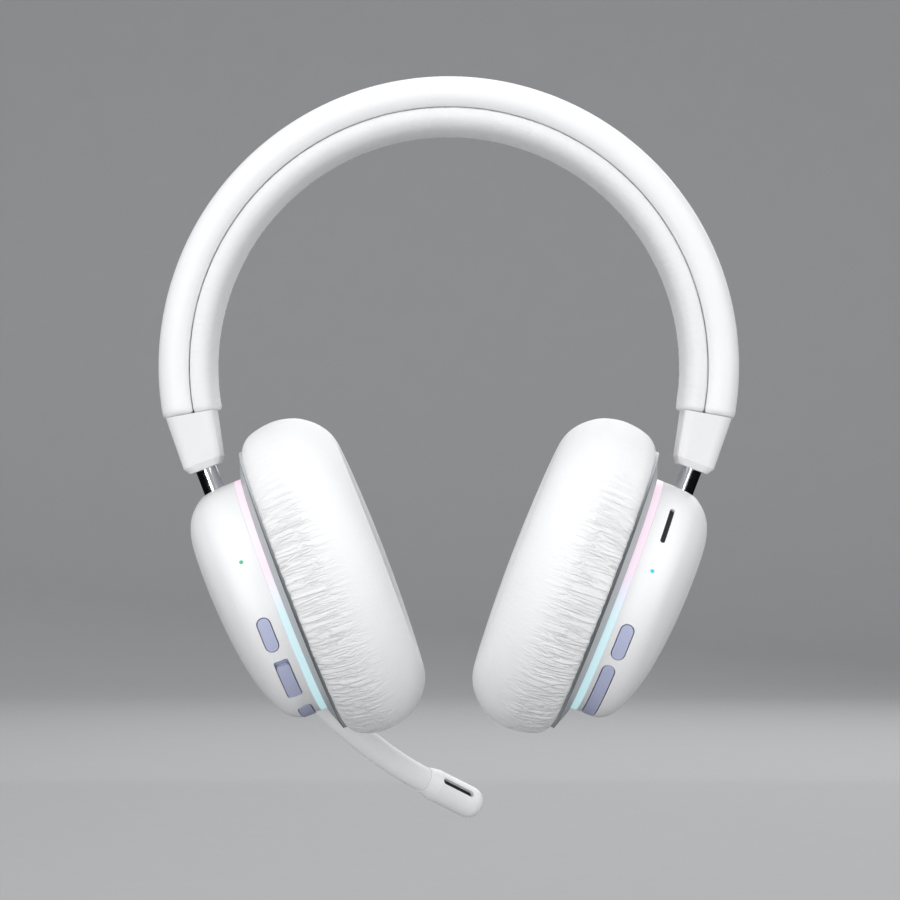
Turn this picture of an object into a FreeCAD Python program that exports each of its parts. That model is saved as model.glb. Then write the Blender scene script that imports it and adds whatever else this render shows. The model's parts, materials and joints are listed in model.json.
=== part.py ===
import FreeCAD, Part
import math
import os

# Over-ear wireless headset with a plug-in boom microphone. Millimetres.
# Row frame: +X to the right seen from behind, +Y the way the wearer faces, +Z up.
# The origin is the head rest: the underside of the band pad at the top of the arch.

Vec = FreeCAD.Vector

# ---- headband -------------------------------------------------------------
BAND_CENTRE_Z = -67.85
BAND_OUTER_R = 86.1
SEAM_R = 76.5
SEAM_GAP = 0.1
PAD_CENTRE_DROP = 1.4
PAD_INNER_R = -BAND_CENTRE_Z + PAD_CENTRE_DROP
PAD_EDGE_ROUND = 4.0
PAD_HALF_WIDTH = 16.5
BAND_END_ANGLE = 10.4
COVER_HALF_WIDTH = 17.5
COVER_EDGE_ROUND = 3.6
FRAME_INNER_R = 77.8
FRAME_OUTER_R = 84.0
FRAME_HALF_WIDTH = 13.5
SPRING_INNER_R = 80.3
SPRING_THICK = 1.0
SPRING_HALF_WIDTH = 9.0
SPRING_END_ANGLE = -12.0
FIT_GAP = 0.1
FRAME_END_ANGLE = 10.3
FRAME_ROUND = 1.0
SPRING_ROUND = 0.4
SPRING_SLOT_ANGLE = 1.0
PAD_TOP_EXTRA = 4.2
PAD_TRIM_ANGLE = 4.0
PAD_KEEP_DEPTH = 10.0
PAD_KEEP_ROUND = 0.5
CUT_MARGIN = 1.0

# ---- band end cap and sliding rod ----------------------------------------
END_TOP_HALF = 7.0
END_TOP_DEPTH = 16.9
END_TOP_R = 78.0
END_LOW_HALF = 5.8
END_LOW_DEPTH = 13.0
END_LOW_UP = 14.0
END_TIP_HALF = 4.6
END_TIP_DEPTH = 11.6
END_TIP_UP = 12.0
END_U = 7.6
END_ROUND_TOP = 3.4
END_ROUND_TIP = 2.6
ROD_U = 7.8
ROD_R = 3.2
ROD_LOW_UP = -4.0
ROD_TOP_UP = 33.0
ROD_FOOT_UP = 7.0
GUIDE_BORE_R = 3.25
GUIDE_R = 4.3
GUIDE_TOP_UP = 20.0
POCKET_R = 3.6
POCKET_TOP_UP = 34.5
STRIP_TOP_UP = 44.0
STRIP_POCKET_TOP_UP = 45.5
STRIP_THICK = 1.0
STRIP_HALF_WIDTH = 1.7
STRIP_U = ROD_U - 2.2
STRIP_CLEAR = 0.5
STRIP_OVERLAP = 2.0
GUIDE_INSET = 0.2

# ---- ear cup frame: u outward, y forward, up along the leaning ring --------
CUP_X = 61.0
CUP_Z = -106.6
CUP_LEAN = 21.0

# ---- cup shell ------------------------------------------------------------
SHELL_TOP = 5.4
SHELL_BOTTOM = -67.6
SHELL_HALF_DEPTH = 34.5
SHELL_FACE_U = 1.2
SHELL_STRAIGHT_U = 7.0
SHELL_OUTER_U = 19.4
SHELL_WALL = 2.0
TOP_DROP = 14.0
BOTTOM_DROP = 40.0
SIDE_DROP = 25.5
DOME_STEP = 15
ROD_HOLE_R = 4.4
ROD_HOLE_DEPTH = 8.0
MID_UP = (SHELL_TOP + SHELL_BOTTOM) / 2
HALF_HEIGHT = (SHELL_TOP - SHELL_BOTTOM) / 2

# ---- ring stack between shell and cushion ---------------------------------
LIGHT_HALF_U = 1.1
LIGHT_WALL = 2.3
TRIM_U_OUT = -1.2
TRIM_U_IN = -3.1
TRIM_OUT_HALF = (38.2, 35.8)
TRIM_IN_HALF = (43.5, 39.5)
TRIM_HOLE_HALF = (34.0, 31.0)
TRIM_MID_UP = -31.6
BAFFLE_HALF = (33.9, 30.9)
BAFFLE_HOLE_R = 17.5
SCREW_SPOTS = [(20.6, 20.6), (-20.6, 20.6), (-20.6, -20.6), (3.5, -28.0)]
SCREW_HEAD_R = 1.8
SCREW_HEAD_H = 1.0
SCREW_SHANK_R = 1.0
SCREW_LENGTH = 7.0
BOSS_R = 2.6
SCREW_CLEAR = 0.5
RING_CUT = 9.0

# ---- ear cushion ----------------------------------------------------------
CUSHION_HALF = (49.5, 41.5)
CUSHION_HOLE_HALF = (29.0, 21.0)
CUSHION_MID_UP = -31.0
CUSHION_U_OUT = -4.5
CUSHION_U_IN = -32.9
CUSHION_OUTER_ROUND = 10.5
CUSHION_BACK_ROUND = 8.0
CUSHION_HOLE_ROUND = 6.0
CUSHION_RING_HALF = (44.0, 36.5)
CUSHION_RING_HOLE = (31.0, 23.0)
CUSHION_RING_U = -3.2
SCRIM_U = -6.6
SCRIM_THICK = 0.6
SCRIM_CLEAR = 0.2
EDGE_MATCH = 0.01

# ---- driver, boards, battery ---------------------------------------------
DRIVER_R = 20.0
DRIVER_FLANGE_U = (-1.1, 1.0)
DRIVER_BASKET_R = 17.0
DRIVER_BASKET_U = 4.0
MAGNET_R = 11.0
MAGNET_U = 9.0
CONE_R = 16.8
CONE_RISE = 1.6
CONE_TOP_R = 6.7
CONE_GAP = 0.1
BOARD_U = (11.0, 12.2)
BOARD_HALF = (13.0, 15.0)
BATTERY_U = (12.6, 16.2)
BATTERY_HALF = (12.0, 12.0)
BATTERY_MID_UP = -24.0

# ---- pivot ---------------------------------------------------------------
BLOCK_R = 4.9
BLOCK_UP = (-6.0, 0.8)
BLOCK_FLOOR = -4.4
TRUNNION_R = 1.5
TRUNNION_REACH = 8.0
EAR_Y = (5.6, 8.2)
EAR_R = 3.0
EAR_BORE_R = 1.55
BRIDGE_UP = (-9.5, -7.4)
BRIDGE_U = (3.0, 17.6)

# ---- rim controls ----------------------------------------------------------
CONTROL_GAP = 0.3
CONTROL_PROUD = 0.25
CONTROL_DEEP = 3.5
FLANGE_START = 2.9
FLANGE_EXTRA = 1.6
FLANGE_SHORTER = 1.0
CUT_REACH = 8.0
RIM_BAND_EXTRA = 4.0
POWER = {"u": 6.3, "angle": 14.4, "length": 10.4, "width": 3.7}
MUTE = {"u": 5.8, "angle": 40.4, "length": 14.4, "width": 3.9}
MUTE_CORNER = 0.8
MUTE_KNOB_LENGTH = 12.6
MUTE_KNOB_SHIFT = 0.9
MUTE_PLATE_LENGTH = 15.6
MUTE_PLATE_EXTRA = 1.2
MUTE_PLATE_START = 1.7
MUTE_POCKET = (18.0, 5.9)
MUTE_POCKET_START = 0.9
MUTE_POCKET_SHIFT = 0.1
MODE = {"u": 5.0, "angle": 77.5, "length": 16.4, "width": 3.8}
PAIRING = {"u": 5.2, "angle": 18.9, "length": 11.1, "width": 3.7}
ROCKER = {"u": 4.6, "angle": 56.2, "length": 28.4, "width": 3.5}
VENT = {"u": 5.7, "angle": -43.2, "length": 13.8, "width": 1.5}
VENT_DEPTH = (0.8, 1.8)
MESH_FIT = 0.1
LEFT_LED = {"u": 6.0, "angle": -21.7}
RIGHT_LED = {"u": 5.8, "angle": -17.0}
LED_R = 0.6
LED_BOARD_R = 1.6
LED_PROUD = 0.05
LED_INSET = 0.2
LED_BODY = 1.6

# ---- sockets --------------------------------------------------------------
MIC_SOCKET = {"u": 4.5, "angle": 45.0}
AUDIO_SOCKET = {"u": 7.2, "angle": 68.0}
USB_SOCKET = {"u": 6.6, "angle": 52.0}
SOCKET_R = 3.0
SOCKET_LENGTH = 13.0
SOCKET_FLOOR = 1.0
SOCKET_INSET = 0.3
JACK_BORE_R = 1.8
PLUG_R = 1.75
PLUG_LENGTH = 12.0
USB_OPENING = (8.5, 2.7)
USB_BODY = (9.4, 3.7)
USB_LENGTH = 7.5
USB_TONGUE = (6.7, 0.7)
USB_BODY_ROUND = 1.6
USB_ROUND = 1.25
USB_TONGUE_ROUND = 0.2
USB_TONGUE_INSET = 1.5
USB_FLOOR = 0.8
USB_MOUTH = 0.4

# ---- boom microphone (left side, row frame) --------------------------------
BOOM_START = 0.5
BOOM_ROOT_PULL = 10.0
BOOM_HEAD_PULL = 22.0
HEAD_START = Vec(-8.0, 62.0, -196.3)
HEAD_TIP = Vec(5.9, 71.0, -204.1)
ARM_ROOT_R = 3.5
ARM_THICK_R = 4.1
ARM_END_R = 3.9
HEAD_NECK_R = 4.2
HEAD_R = 5.0
HEAD_TAPER = 4.0
ARM_STATIONS = 9
ARM_GROW_SHARE = 0.33
HEAD_GAP = 0.1
SLOT_CENTRE = 10.6
SLOT_LENGTH = 12.4
SLOT_WIDTH = 2.0
SLOT_DEPTH = 2.2
SLOT_ROLL = 38.0
GRILLE_THICK = 0.8
CAPSULE_R = 2.0
CAPSULE_THICK = 2.2
CAPSULE_FIT = 0.05


# ---- shape helpers ---------------------------------------------------------
def box(low, high):
    """Box between two corners."""
    return Part.makeBox(high[0] - low[0], high[1] - low[1], high[2] - low[2], Vec(*low))


def cylinder_up(radius, low, high, u, y=0.0):
    """Cylinder parallel to the rod, between two heights."""
    return Part.makeCylinder(radius, high - low, Vec(u, y, low), Vec(0, 0, 1))


def cylinder_u(radius, start, end, y, up):
    """Cylinder parallel to the cup's outward axis."""
    return Part.makeCylinder(radius, end - start, Vec(start, y, up), Vec(1, 0, 0))


def oval_wire(u, half, mid_up):
    """Upright ellipse in a plane across the outward axis; half = (height, depth)."""
    centre = Vec(u, 0, mid_up)
    ellipse = Part.Ellipse(centre + Vec(0, 0, half[0]), centre + Vec(0, half[1], 0), centre)
    return Part.Wire(ellipse.toShape())


def oval_disc(start, end, half, mid_up):
    """Elliptical disc between two outward positions."""
    face = Part.Face(oval_wire(start, half, mid_up))
    return face.extrude(Vec(end - start, 0, 0))


def grown(half, amount):
    """Both half sizes of an oval, enlarged by the same amount."""
    return (half[0] + amount, half[1] + amount)


def rounded_face(half_x, half_y, radius):
    """Rectangle with rounded corners in the XY plane, centred on the origin."""
    x = half_x - radius
    y = half_y - radius
    side = math.sqrt(0.5) * radius
    edges = []
    corners = [(x, y, 1, 1), (-x, y, -1, 1), (-x, -y, -1, -1), (x, -y, 1, -1)]
    last = None
    first = None
    for cx, cy, sx, sy in corners:
        along_x = Vec(cx + sx * radius, cy, 0)
        along_y = Vec(cx, cy + sy * radius, 0)
        start, end = (along_x, along_y) if sx * sy > 0 else (along_y, along_x)
        if last is not None and last.distanceToPoint(start) > 1e-6:
            edges.append(Part.LineSegment(last, start).toShape())
        middle = Vec(cx + sx * side, cy + sy * side, 0)
        edges.append(Part.Arc(start, middle, end).toShape())
        first = start if first is None else first
        last = end
    if last.distanceToPoint(first) > 1e-6:
        edges.append(Part.LineSegment(last, first).toShape())
    return Part.Face(Part.Wire(edges))


def prism(face, low, high):
    """Face in the XY plane, extruded between two levels."""
    moved = face.copy()
    moved.translate(Vec(0, 0, low))
    return moved.extrude(Vec(0, 0, high - low))


def stadium(length, width, low, high):
    """Round-ended bar along X."""
    return prism(rounded_face(length / 2, width / 2, width / 2 - 1e-4), low, high)


def placed(shape, placement):
    """Copy of a shape, moved by a placement."""
    moved = shape.copy()
    moved.Placement = placement.multiply(moved.Placement)
    return moved


def frame_from(origin, axis_x, axis_z):
    """Placement with the given X and Z directions."""
    axis_y = axis_z.cross(axis_x)
    rotation = FreeCAD.Rotation(axis_x, axis_y, axis_z, "ZXY")
    return FreeCAD.Placement(origin, rotation)


def unit(vector):
    """Copy of a vector with length one."""
    return Vec(vector).normalize()


# ---- saving ------------------------------------------------------------------
CUP_FRAME = FreeCAD.Placement(Vec(CUP_X, 0, CUP_Z), FreeCAD.Rotation(Vec(0, 1, 0), CUP_LEAN))


def on_side(shape, side):
    """Cup-frame shape, moved to the right side or mirrored to the left."""
    moved = placed(shape, CUP_FRAME)
    if side == "left":
        moved = moved.mirror(Vec(0, 0, 0), Vec(1, 0, 0))
    return moved


def save(node, shape):
    """Write one sub-part."""
    shape.exportStep(os.path.join("parts", node + ".step"))
    solids = len(shape.Solids)
    print(f"{node:24s} solids {solids} volume {shape.Volume / 1000:9.3f} cm3 valid {shape.isValid()}")


def save_cup(node, shape, side):
    """Write one cup sub-part on its side."""
    save(node + "_" + side, on_side(shape, side))


# ---- cup outline -------------------------------------------------------------
def shell_solid(wall):
    """Domed cup body, shrunk inward by a wall thickness."""
    outer_u = SHELL_OUTER_U - wall
    face_u = SHELL_FACE_U - (CUT_MARGIN if wall else 0.0)
    stations = [(face_u, 0.0), ((face_u + SHELL_STRAIGHT_U) / 2, 0.0), (SHELL_STRAIGHT_U, 0.0)]
    for degrees in range(DOME_STEP, 90 + DOME_STEP, DOME_STEP):
        angle = math.radians(degrees)
        u = SHELL_STRAIGHT_U + (outer_u - SHELL_STRAIGHT_U) * math.sin(angle)
        stations.append((u, 1 - math.cos(angle)))
    wires = []
    for u, drop in stations:
        top = SHELL_TOP - wall - TOP_DROP * drop
        bottom = SHELL_BOTTOM + wall + BOTTOM_DROP * drop
        depth = SHELL_HALF_DEPTH - wall - SIDE_DROP * drop
        wires.append(oval_wire(u, ((top - bottom) / 2, depth), (top + bottom) / 2))
    return Part.makeLoft(wires, True, False)


def rim_band(outer_offset, inner_offset):
    """Elliptical tube that follows the cup's rim, offsets measured outward."""
    half = (HALF_HEIGHT, SHELL_HALF_DEPTH)
    outer = oval_disc(SHELL_FACE_U, SHELL_STRAIGHT_U + RIM_BAND_EXTRA, grown(half, outer_offset), MID_UP)
    end = SHELL_STRAIGHT_U + RIM_BAND_EXTRA + CUT_MARGIN
    inner = oval_disc(SHELL_FACE_U - CUT_MARGIN, end, grown(half, inner_offset), MID_UP)
    return outer.cut(inner)


def rim_frame(spot, facing=-1):
    """Frame on the rim: X along the rim downward, Z outward. facing -1 is the rear."""
    angle = math.radians(spot["angle"])
    sine = math.sin(angle)
    cosine = math.cos(angle)
    point = Vec(spot["u"], facing * SHELL_HALF_DEPTH * cosine, MID_UP - HALF_HEIGHT * sine)
    outward = unit(Vec(0, facing * cosine / SHELL_HALF_DEPTH, -sine / HALF_HEIGHT))
    along = unit(Vec(0, -facing * SHELL_HALF_DEPTH * sine, -HALF_HEIGHT * cosine))
    return frame_from(point, along, outward)


def rim_stadium(spot, longer=0.0, wider=0.0):
    """Round-ended bar through the rim, square to it."""
    bar = stadium(spot["length"] + longer, spot["width"] + wider, -CUT_REACH, CUT_REACH)
    return placed(bar, rim_frame(spot))


def rim_block(spot, length, width, corner, shift=0.0):
    """Rectangular bar through the rim, moved along the rim by a shift."""
    bar = prism(rounded_face(length / 2, width / 2, corner), -CUT_REACH, CUT_REACH)
    bar.translate(Vec(shift, 0, 0))
    return placed(bar, rim_frame(spot))


def rim_hole(spot):
    """Opening in the rim for a control."""
    return rim_stadium(spot, 2 * CONTROL_GAP, 2 * CONTROL_GAP)


def rim_button(spot):
    """Key that follows the rim, with a retaining flange inside the wall."""
    key = rim_band(CONTROL_PROUD, -CONTROL_DEEP).common(rim_stadium(spot))
    lip = rim_band(-FLANGE_START, -CONTROL_DEEP).common(rim_stadium(spot, -FLANGE_SHORTER, FLANGE_EXTRA))
    return key.fuse(lip).removeSplitter()


def mute_slide():
    """Sliding knob at the lower end of its opening, on a plate that closes the opening."""
    knob = rim_block(MUTE, MUTE_KNOB_LENGTH, MUTE["width"], MUTE_CORNER, MUTE_KNOB_SHIFT)
    plate = rim_block(MUTE, MUTE_PLATE_LENGTH, MUTE["width"] + MUTE_PLATE_EXTRA, MUTE_CORNER,
                      MUTE_KNOB_SHIFT)
    knob = rim_band(CONTROL_PROUD, -CONTROL_DEEP).common(knob)
    plate = rim_band(-MUTE_PLATE_START, -CONTROL_DEEP).common(plate)
    return knob.fuse(plate).removeSplitter()


def mute_pocket():
    """Recess behind the wall in which the mute slide's plate travels."""
    block = rim_block(MUTE, MUTE_POCKET[0], MUTE_POCKET[1], MUTE_CORNER, MUTE_POCKET_SHIFT)
    return rim_band(-MUTE_POCKET_START, -CONTROL_DEEP).common(block)


def rim_cylinder(spot, radius, low, high, facing=-1):
    """Round bar through the rim, square to it."""
    bar = Part.makeCylinder(radius, high - low, Vec(0, 0, low), Vec(0, 0, 1))
    return placed(bar, rim_frame(spot, facing))


# ---- headband ------------------------------------------------------------------
def arch(face, centre_z, end_angle):
    """Section in the XY plane (X is radius), swept over the head."""
    centre = Vec(0, 0, centre_z)
    start = FreeCAD.Placement(centre, FreeCAD.Rotation(Vec(0, 1, 0), -end_angle))
    section = face.mirror(Vec(0, 0, 0), Vec(1, 0, 0))
    section = placed(section, start)
    return section.revolve(centre, Vec(0, 1, 0), 180 + 2 * end_angle)


def radial_face(inner_r, outer_r, half_width, rounding):
    """Rounded rectangular section between two radii."""
    face = rounded_face((outer_r - inner_r) / 2, half_width, rounding)
    face.translate(Vec((outer_r + inner_r) / 2, 0, 0))
    return face


def rod_pocket():
    """Space for the rod and its guide strip inside the band ends, both sides."""
    bore = cylinder_up(POCKET_R, END_TIP_UP - 4 * CUT_MARGIN, POCKET_TOP_UP, ROD_U)
    low = (STRIP_U - STRIP_THICK / 2 - STRIP_CLEAR, -STRIP_HALF_WIDTH - STRIP_CLEAR,
           POCKET_TOP_UP - STRIP_OVERLAP)
    high = (STRIP_U + STRIP_THICK / 2 + STRIP_CLEAR, STRIP_HALF_WIDTH + STRIP_CLEAR, STRIP_POCKET_TOP_UP)
    space = bore.fuse(box(low, high))
    return on_side(space, "right").fuse(on_side(space, "left"))


def build_headband(pocket):
    """Leather-covered arch: cover, inner frame, steel spring and pad."""
    cover = arch(radial_face(SEAM_R + SEAM_GAP, BAND_OUTER_R, COVER_HALF_WIDTH, COVER_EDGE_ROUND),
                 BAND_CENTRE_Z, BAND_END_ANGLE)
    hollow = arch(radial_face(FRAME_INNER_R - FIT_GAP, FRAME_OUTER_R + FIT_GAP,
                              FRAME_HALF_WIDTH + FIT_GAP, FRAME_ROUND), BAND_CENTRE_Z, BAND_END_ANGLE)
    save("headband_cover", cover.cut(hollow).cut(pocket))

    frame = arch(radial_face(FRAME_INNER_R, FRAME_OUTER_R, FRAME_HALF_WIDTH, FRAME_ROUND),
                 BAND_CENTRE_Z, FRAME_END_ANGLE)
    slot = arch(radial_face(SPRING_INNER_R - FIT_GAP, SPRING_INNER_R + SPRING_THICK + FIT_GAP,
                            SPRING_HALF_WIDTH + FIT_GAP, SPRING_ROUND),
                BAND_CENTRE_Z, SPRING_END_ANGLE + SPRING_SLOT_ANGLE)
    save("headband_frame", frame.cut(slot).cut(pocket))

    spring = arch(radial_face(SPRING_INNER_R, SPRING_INNER_R + SPRING_THICK, SPRING_HALF_WIDTH, SPRING_ROUND),
                  BAND_CENTRE_Z, SPRING_END_ANGLE)
    save("headband_spring", spring)

    pad_centre = BAND_CENTRE_Z - PAD_CENTRE_DROP
    pad_outer_r = SEAM_R + PAD_TOP_EXTRA + PAD_EDGE_ROUND
    pad = arch(radial_face(PAD_INNER_R, pad_outer_r, PAD_HALF_WIDTH, PAD_EDGE_ROUND),
               pad_centre, BAND_END_ANGLE + PAD_TRIM_ANGLE)
    keep = arch(radial_face(PAD_INNER_R - PAD_KEEP_DEPTH, SEAM_R - SEAM_GAP,
                            PAD_HALF_WIDTH + 2 * CUT_MARGIN, PAD_KEEP_ROUND),
                BAND_CENTRE_Z, BAND_END_ANGLE)
    save("headband_pad", pad.common(keep).cut(pocket))


def band_end_wire(half, depth, rounding, placement):
    """One section of the end cap."""
    face = placed(rounded_face(half, depth, rounding), placement)
    return face.OuterWire


def build_band_end(side):
    """Tapered plastic cap on the band end, with the nylon guide for the rod."""
    centre = Vec(0, 0, BAND_CENTRE_Z)
    turn = FreeCAD.Rotation(Vec(0, 1, 0), BAND_END_ANGLE)
    top_row = FreeCAD.Placement(centre + turn.multVec(Vec(END_TOP_R, 0, 0)), turn)
    low_row = placed_point(END_U, END_LOW_UP)
    tip_row = placed_point(END_U, END_TIP_UP)
    wires = [
        band_end_wire(END_TOP_HALF, END_TOP_DEPTH, END_ROUND_TOP, top_row),
        band_end_wire(END_LOW_HALF, END_LOW_DEPTH, END_ROUND_TIP, low_row),
        band_end_wire(END_TIP_HALF, END_TIP_DEPTH, END_ROUND_TIP, tip_row),
    ]
    cap = Part.makeLoft(wires, True, True)
    to_cup = CUP_FRAME.inverse()
    cap = placed(cap, to_cup)
    cap = cap.cut(cylinder_up(GUIDE_R, END_TIP_UP - 4 * CUT_MARGIN, GUIDE_TOP_UP, ROD_U))
    cap = cap.cut(cylinder_up(POCKET_R, END_TIP_UP, POCKET_TOP_UP, ROD_U))
    save_cup("band_end", cap, side)
    guide = cylinder_up(GUIDE_R, END_TIP_UP + GUIDE_INSET, GUIDE_TOP_UP, ROD_U)
    bore = cylinder_up(GUIDE_BORE_R, END_TIP_UP - 4 * CUT_MARGIN, GUIDE_TOP_UP + 2 * CUT_MARGIN, ROD_U)
    guide = guide.cut(bore)
    save_cup("slider_guide", guide, side)


def placed_point(u, up):
    """Placement square to the rod at a point of the cup frame."""
    return CUP_FRAME.multiply(FreeCAD.Placement(Vec(u, 0, up), FreeCAD.Rotation()))


def build_rod(side):
    """Chrome rod with its guide strip inside the band, and its foot in the swivel block."""
    rod = cylinder_up(ROD_R, ROD_FOOT_UP, ROD_TOP_UP, ROD_U)
    low = (STRIP_U - STRIP_THICK / 2, -STRIP_HALF_WIDTH, ROD_TOP_UP - STRIP_OVERLAP)
    high = (STRIP_U + STRIP_THICK / 2, STRIP_HALF_WIDTH, STRIP_TOP_UP)
    save_cup("slider_rod", rod.fuse(box(low, high)).removeSplitter(), side)
    save_cup("rod_foot", cylinder_up(ROD_R, ROD_LOW_UP, ROD_FOOT_UP, ROD_U), side)


# ---- pivot between rod and cup ----------------------------------------------------
def build_pivot(side, shell_body):
    """Block that turns on the rod and carries the cup on two side trunnions."""
    block = cylinder_up(BLOCK_R, BLOCK_UP[0], BLOCK_UP[1], ROD_U)
    trunnions = Part.makeCylinder(TRUNNION_R, 2 * TRUNNION_REACH, Vec(ROD_U, -TRUNNION_REACH, 0), Vec(0, 1, 0))
    block = block.fuse(trunnions)
    block = block.cut(cylinder_up(GUIDE_BORE_R, BLOCK_FLOOR, BLOCK_UP[1] + 2 * CUT_MARGIN, ROD_U))
    save_cup("swivel_block", block, side)

    bridge = box((BRIDGE_U[0], -EAR_Y[1], BRIDGE_UP[0]), (BRIDGE_U[1], EAR_Y[1], BRIDGE_UP[1]))
    bracket = bridge
    for sign in (-1, 1):
        start = EAR_Y[0] if sign > 0 else -EAR_Y[1]
        width = EAR_Y[1] - EAR_Y[0]
        eye = Part.makeCylinder(EAR_R, width, Vec(ROD_U, start, 0), Vec(0, 1, 0))
        leg = box((ROD_U - EAR_R, start, BRIDGE_UP[0]), (ROD_U + EAR_R, start + width, 0))
        bracket = bracket.fuse(eye).fuse(leg)
    bore = Part.makeCylinder(EAR_BORE_R, 4 * TRUNNION_REACH, Vec(ROD_U, -2 * TRUNNION_REACH, 0), Vec(0, 1, 0))
    bracket = bracket.cut(bore).common(shell_body)
    save_cup("hinge_bracket", bracket, side)


# ---- cup body ------------------------------------------------------------------
def screw_spots():
    """Centres of the four baffle screws."""
    return [(y, MID_UP + rise) for y, rise in SCREW_SPOTS]


def build_rings(side):
    """Light ring, trim ring, baffle and its screws."""
    ring_half = (HALF_HEIGHT, SHELL_HALF_DEPTH)
    light = oval_disc(-LIGHT_HALF_U, LIGHT_HALF_U, ring_half, MID_UP)
    light = light.cut(oval_disc(-RING_CUT, RING_CUT, grown(ring_half, -LIGHT_WALL), MID_UP))
    save_cup("light_ring", light, side)

    trim = Part.makeLoft([oval_wire(TRIM_U_OUT, TRIM_OUT_HALF, TRIM_MID_UP),
                          oval_wire(TRIM_U_IN, TRIM_IN_HALF, TRIM_MID_UP)], True, True)
    trim = trim.cut(oval_disc(-RING_CUT, RING_CUT, TRIM_HOLE_HALF, MID_UP))
    save_cup("trim_ring", trim, side)

    baffle = oval_disc(TRIM_U_IN, TRIM_U_OUT, BAFFLE_HALF, MID_UP)
    baffle = baffle.cut(cylinder_u(BAFFLE_HOLE_R, -RING_CUT, RING_CUT, 0, MID_UP))
    screws = []
    for y, up in screw_spots():
        head = cylinder_u(SCREW_HEAD_R, TRIM_U_IN, TRIM_U_IN + SCREW_HEAD_H, y, up)
        shank = cylinder_u(SCREW_SHANK_R, TRIM_U_IN, TRIM_U_IN + SCREW_LENGTH, y, up)
        screw = head.fuse(shank).removeSplitter()
        baffle = baffle.cut(screw)
        screws.append(screw)
    save_cup("baffle", baffle, side)
    save_cup("baffle_screws", Part.makeCompound(screws), side)


def cup_shell(openings):
    """Hollow cup with screw bosses and openings."""
    shell = shell_solid(0.0).cut(shell_solid(SHELL_WALL))
    for y, up in screw_spots():
        boss = cylinder_u(BOSS_R, SHELL_FACE_U, SHELL_OUTER_U, y, up).common(shell_solid(0.0))
        hole_end = TRIM_U_IN + SCREW_LENGTH + SCREW_CLEAR
        hole = cylinder_u(SCREW_SHANK_R, SHELL_FACE_U - CUT_MARGIN, hole_end, y, up)
        shell = shell.fuse(boss).cut(hole)
    shell = shell.cut(cylinder_up(ROD_HOLE_R, SHELL_TOP - ROD_HOLE_DEPTH, SHELL_TOP + 2 * CUT_MARGIN, ROD_U))
    for opening in openings:
        shell = shell.cut(opening)
    return max(shell.Solids, key=lambda solid: solid.Volume)


def build_cushion(side):
    """Ear cushion, its snap ring and the cloth over the driver."""
    body = oval_disc(CUSHION_U_IN, CUSHION_U_OUT, CUSHION_HALF, CUSHION_MID_UP)
    body = round_oval_edges(body, CUSHION_U_IN, CUSHION_OUTER_ROUND)
    body = round_oval_edges(body, CUSHION_U_OUT, CUSHION_BACK_ROUND)
    hole = oval_disc(CUSHION_U_IN - CUT_MARGIN, CUSHION_U_OUT + CUT_MARGIN, CUSHION_HOLE_HALF, CUSHION_MID_UP)
    flare = Part.makeLoft([
        oval_wire(CUSHION_U_IN - CUT_MARGIN, grown(CUSHION_HOLE_HALF, CUSHION_HOLE_ROUND), CUSHION_MID_UP),
        oval_wire(CUSHION_U_IN + CUSHION_HOLE_ROUND, CUSHION_HOLE_HALF, CUSHION_MID_UP)], True, True)
    save_cup("ear_cushion", body.cut(hole).cut(flare), side)

    ring = oval_disc(CUSHION_U_OUT, CUSHION_RING_U, CUSHION_RING_HALF, CUSHION_MID_UP)
    ring = ring.cut(oval_disc(-RING_CUT, RING_CUT, CUSHION_RING_HOLE, CUSHION_MID_UP))
    save_cup("cushion_ring", ring, side)

    scrim_half = grown(CUSHION_HOLE_HALF, -SCRIM_CLEAR)
    save_cup("speaker_scrim", oval_disc(SCRIM_U, SCRIM_U + SCRIM_THICK, scrim_half, CUSHION_MID_UP), side)


def round_oval_edges(body, u, radius):
    """Round the elliptical edge that lies in one plane."""
    edges = [edge for edge in body.Edges if abs(edge.BoundBox.XMin - u) < EDGE_MATCH
             and abs(edge.BoundBox.XMax - u) < EDGE_MATCH]
    return body.makeFillet(radius, edges)


def build_driver(side):
    """Loudspeaker: basket and magnet in one unit, cone in front."""
    flange = cylinder_u(DRIVER_R, DRIVER_FLANGE_U[0], DRIVER_FLANGE_U[1], 0, MID_UP)
    basket = cylinder_u(DRIVER_BASKET_R, DRIVER_FLANGE_U[1], DRIVER_BASKET_U, 0, MID_UP)
    magnet = cylinder_u(MAGNET_R, DRIVER_BASKET_U, MAGNET_U, 0, MID_UP)
    save_cup("driver", flange.fuse(basket).fuse(magnet).removeSplitter(), side)
    cone_base = Vec(DRIVER_FLANGE_U[0] - CONE_GAP, 0, MID_UP)
    cone = Part.makeCone(CONE_R, CONE_TOP_R, CONE_RISE, cone_base, Vec(-1, 0, 0))
    save_cup("driver_cone", cone, side)


def build_board(side):
    """Circuit board behind the driver."""
    low = (BOARD_U[0], -BOARD_HALF[0], MID_UP - BOARD_HALF[1])
    high = (BOARD_U[1], BOARD_HALF[0], MID_UP + BOARD_HALF[1])
    save_cup("circuit_board", box(low, high), side)


def status_light(spot):
    """Light pipe of a status light, with its lamp inside the wall."""
    pipe = rim_cylinder(spot, LED_R, -SHELL_WALL - LED_INSET, LED_PROUD)
    lamp = rim_cylinder(spot, LED_BOARD_R, -SHELL_WALL - LED_BODY, -SHELL_WALL - LED_INSET)
    return pipe.fuse(lamp)


# ---- sockets and microphone -------------------------------------------------------
def jack_socket(spot):
    """Barrel socket in the front of the rim."""
    barrel = rim_cylinder(spot, SOCKET_R, -SOCKET_LENGTH - SOCKET_FLOOR, -SOCKET_INSET, 1)
    return barrel.cut(rim_cylinder(spot, JACK_BORE_R, -SOCKET_LENGTH, 2 * CUT_MARGIN, 1))


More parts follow.
